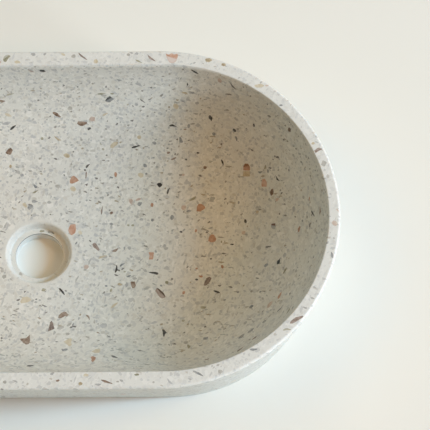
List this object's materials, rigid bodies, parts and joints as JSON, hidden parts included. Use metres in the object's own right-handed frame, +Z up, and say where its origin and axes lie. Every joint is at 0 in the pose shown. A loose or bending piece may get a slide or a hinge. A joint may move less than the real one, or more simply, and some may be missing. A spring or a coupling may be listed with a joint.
{
  "type": "countertop basin",
  "caption": "Stadium-shaped terrazzo vessel basin with tapered sides, a deep coved bowl and a recessed central drain hole lined by a ring.",
  "frame": {"origin": "on the drain axis, in the plane of the flat base that the basin stands on", "axes": "+X along the basin, to the right in the picture; +Y towards its back; +Z up, out of the bowl"},
  "size_m": [0.5492, 0.3188, 0.12],
  "materials": {
    "terrazzo_matrix": "honed",
    "sleeve": "smooth matte",
    "chip_terracotta": "honed brick",
    "chip_coral": "honed coral brick",
    "chip_pink": "honed pink marble",
    "chip_cream": "honed shell limestone",
    "chip_ochre": "honed ochre limestone",
    "chip_brown": "honed brown stone",
    "chip_mauve": "honed banded mauve stone",
    "chip_black": "honed black stone",
    "chip_slate": "honed slate",
    "chip_blue_grey": "honed blue-grey marble",
    "chip_olive": "honed olive stone",
    "chip_grey": "honed grey marble"
  },
  "bodies": {
    "root": {"basin_body": "terrazzo_matrix", "drain_sleeve": "sleeve", "bowl_chips_black": "chip_black", "bowl_chips_blue_grey": "chip_blue_grey", "bowl_chips_brown": "chip_brown", "bowl_chips_coral": "chip_coral", "bowl_chips_cream": "chip_cream", "bowl_chips_grey": "chip_grey", "bowl_chips_mauve": "chip_mauve", "bowl_chips_ochre": "chip_ochre", "bowl_chips_olive": "chip_olive", "bowl_chips_pink": "chip_pink", "bowl_chips_slate": "chip_slate", "bowl_chips_terracotta": "chip_terracotta", "drain_chips_grey": "chip_grey", "drain_chips_olive": "chip_olive", "drain_chips_slate": "chip_slate", "rim_chips_black": "chip_black", "rim_chips_blue_grey": "chip_blue_grey", "rim_chips_brown": "chip_brown", "rim_chips_coral": "chip_coral", "rim_chips_cream": "chip_cream", "rim_chips_grey": "chip_grey", "rim_chips_mauve": "chip_mauve", "rim_chips_ochre": "chip_ochre", "rim_chips_olive": "chip_olive", "rim_chips_pink": "chip_pink", "rim_chips_slate": "chip_slate", "rim_chips_terracotta": "chip_terracotta", "wall_chips_black": "chip_black", "wall_chips_blue_grey": "chip_blue_grey", "wall_chips_brown": "chip_brown", "wall_chips_coral": "chip_coral", "wall_chips_cream": "chip_cream", "wall_chips_grey": "chip_grey", "wall_chips_mauve": "chip_mauve", "wall_chips_ochre": "chip_ochre", "wall_chips_olive": "chip_olive", "wall_chips_pink": "chip_pink", "wall_chips_slate": "chip_slate", "wall_chips_terracotta": "chip_terracotta"}
  },
  "joints": []
}
